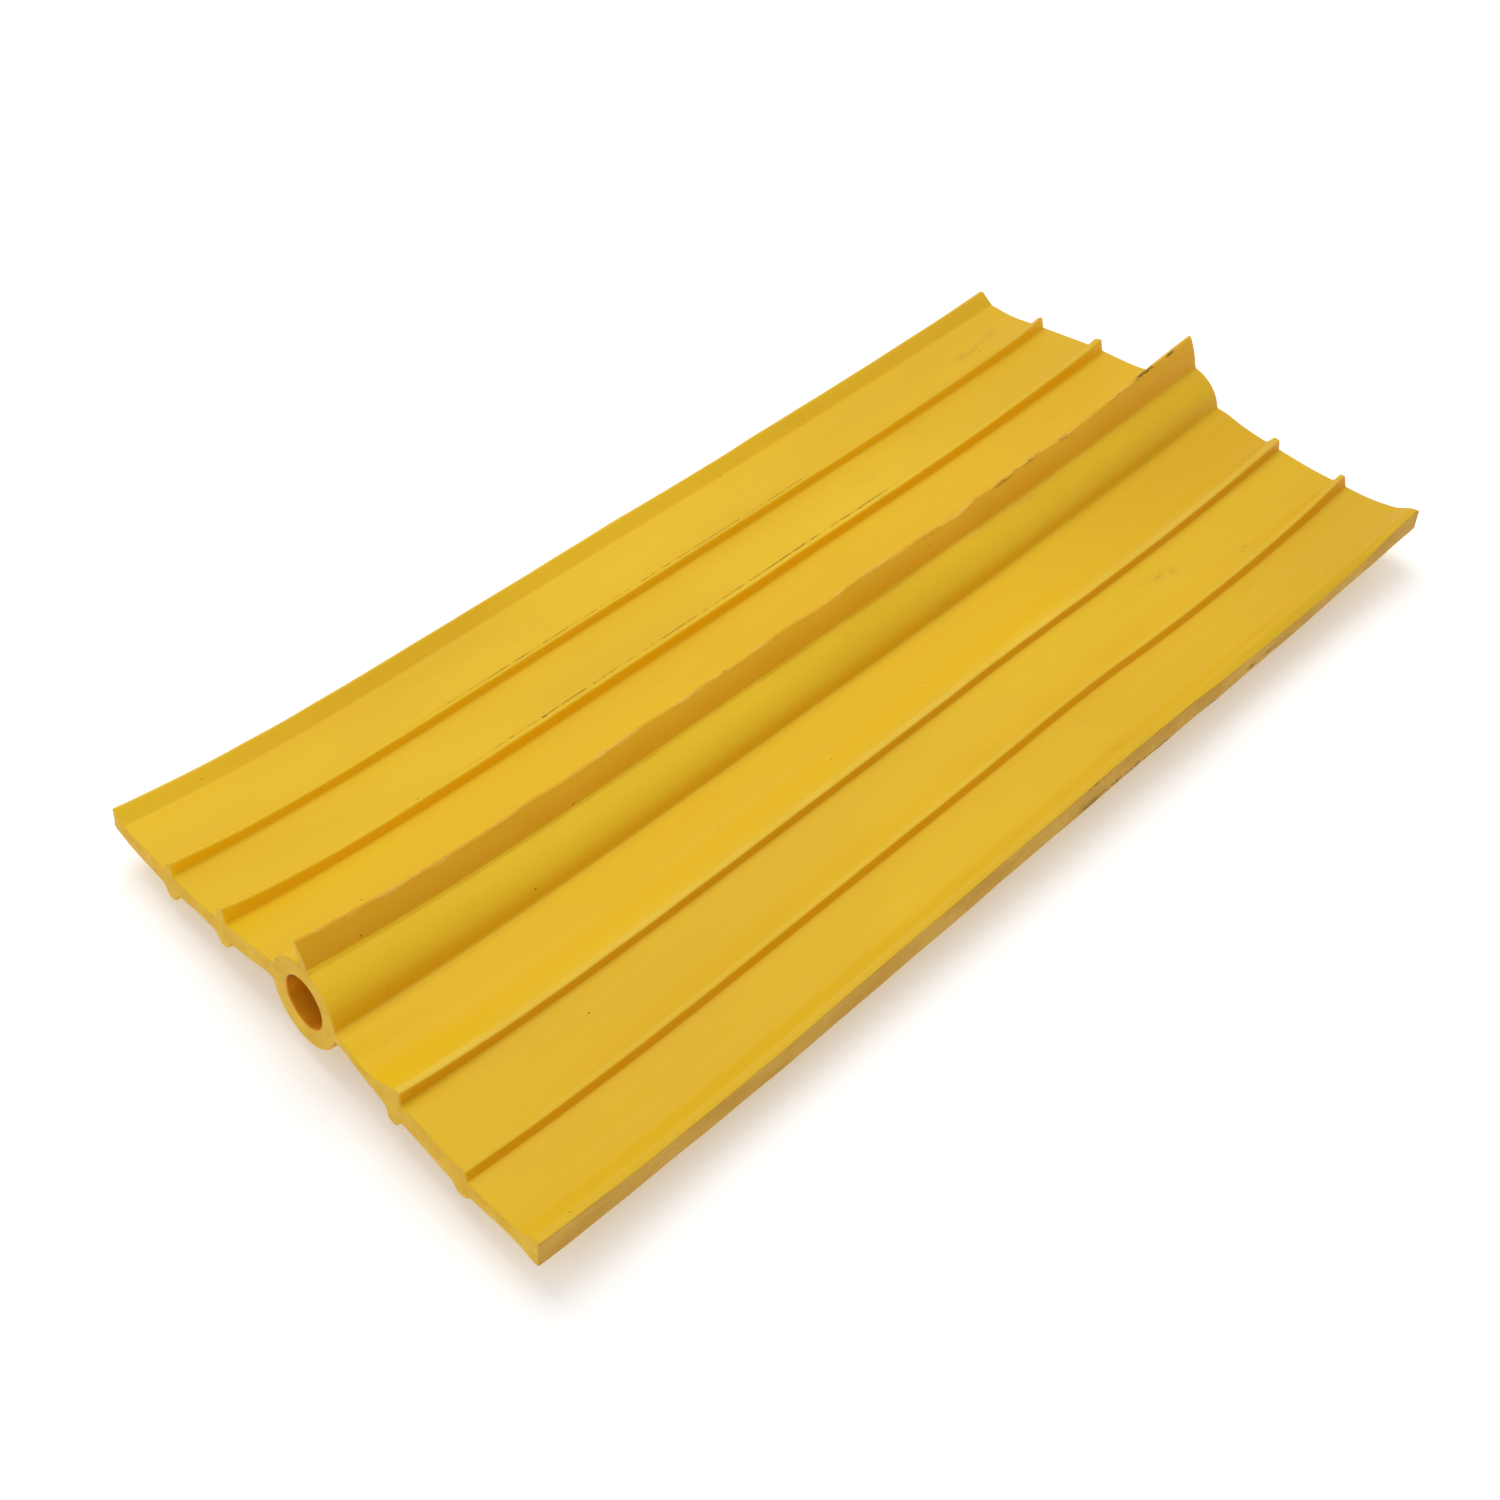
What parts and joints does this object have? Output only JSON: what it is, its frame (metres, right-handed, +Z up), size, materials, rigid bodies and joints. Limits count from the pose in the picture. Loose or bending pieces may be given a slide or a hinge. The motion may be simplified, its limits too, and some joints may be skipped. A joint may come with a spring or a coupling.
{
  "type": "centre bulb waterstop",
  "caption": "Cut length of ribbed, soft PVC waterstop: two ribbed wings that bend at their thin webs, beaded edges, a hollow centre bulb and a thin upright fin on it.",
  "frame": {"origin": "centre of the footprint, on the floor plane that the bulb's underside touches at mid-length", "axes": "+Y along the strip from its near cut end to its far cut end, +X across the strip to the right wing, +Z up out of the face that carries the fin"},
  "size_m": [0.1523, 0.3046, 0.0365],
  "materials": {
    "bulb_pvc": "semi-matte soft yellow PVC, as extruded",
    "fin_pvc": "semi-matte soft yellow PVC with a roughly trimmed top edge",
    "wing_pvc": "semi-matte soft yellow PVC, as extruded, lightly scuffed on the ribs",
    "edge_pvc": "semi-matte soft yellow PVC, slightly soiled along the outer edge"
  },
  "bodies": {
    "bulb": {"centre_bulb": "bulb_pvc"},
    "fin": {"centre_fin": "fin_pvc"},
    "left_inner": {"left_inner_rib_panel": "wing_pvc"},
    "left_outer": {"left_outer_rib_panel": "wing_pvc"},
    "left_edge": {"left_edge_panel": "edge_pvc"},
    "right_inner": {"right_inner_rib_panel": "wing_pvc"},
    "right_outer": {"right_outer_rib_panel": "wing_pvc"},
    "right_edge": {"right_edge_panel": "edge_pvc"}
  },
  "joints": [
    {"name": "fin_flex", "type": "hinge", "parent": "bulb", "child": "fin", "pos_m": [0.001, 0, 0.0253], "axis": [0, 1, 0], "range_deg": [-25, 25], "stiffness_Nm_per_rad": 0.3},
    {"name": "left_root_flex", "type": "hinge", "parent": "bulb", "child": "left_inner", "pos_m": [-0.0212, 0, 0.01266], "axis": [0, 1, 0], "range_deg": [-30, 30], "stiffness_Nm_per_rad": 1},
    {"name": "left_middle_flex", "type": "hinge", "parent": "left_inner", "child": "left_outer", "pos_m": [-0.0416, 0, 0.01134], "axis": [0, 1, 0], "range_deg": [-30, 30], "stiffness_Nm_per_rad": 1},
    {"name": "left_edge_flex", "type": "hinge", "parent": "left_outer", "child": "left_edge", "pos_m": [-0.0624, 0, 0.01007], "axis": [0, 1, 0], "range_deg": [-30, 30], "stiffness_Nm_per_rad": 1},
    {"name": "right_root_flex", "type": "hinge", "parent": "bulb", "child": "right_inner", "pos_m": [0.0212, 0, 0.0119], "axis": [0, -1, 0], "range_deg": [-30, 30], "stiffness_Nm_per_rad": 1},
    {"name": "right_middle_flex", "type": "hinge", "parent": "right_inner", "child": "right_outer", "pos_m": [0.0416, 0, 0.00943], "axis": [0, -1, 0], "range_deg": [-30, 30], "stiffness_Nm_per_rad": 1},
    {"name": "right_edge_flex", "type": "hinge", "parent": "right_outer", "child": "right_edge", "pos_m": [0.0624, 0, 0.0098], "axis": [0, -1, 0], "range_deg": [-30, 30], "stiffness_Nm_per_rad": 1}
  ]
}
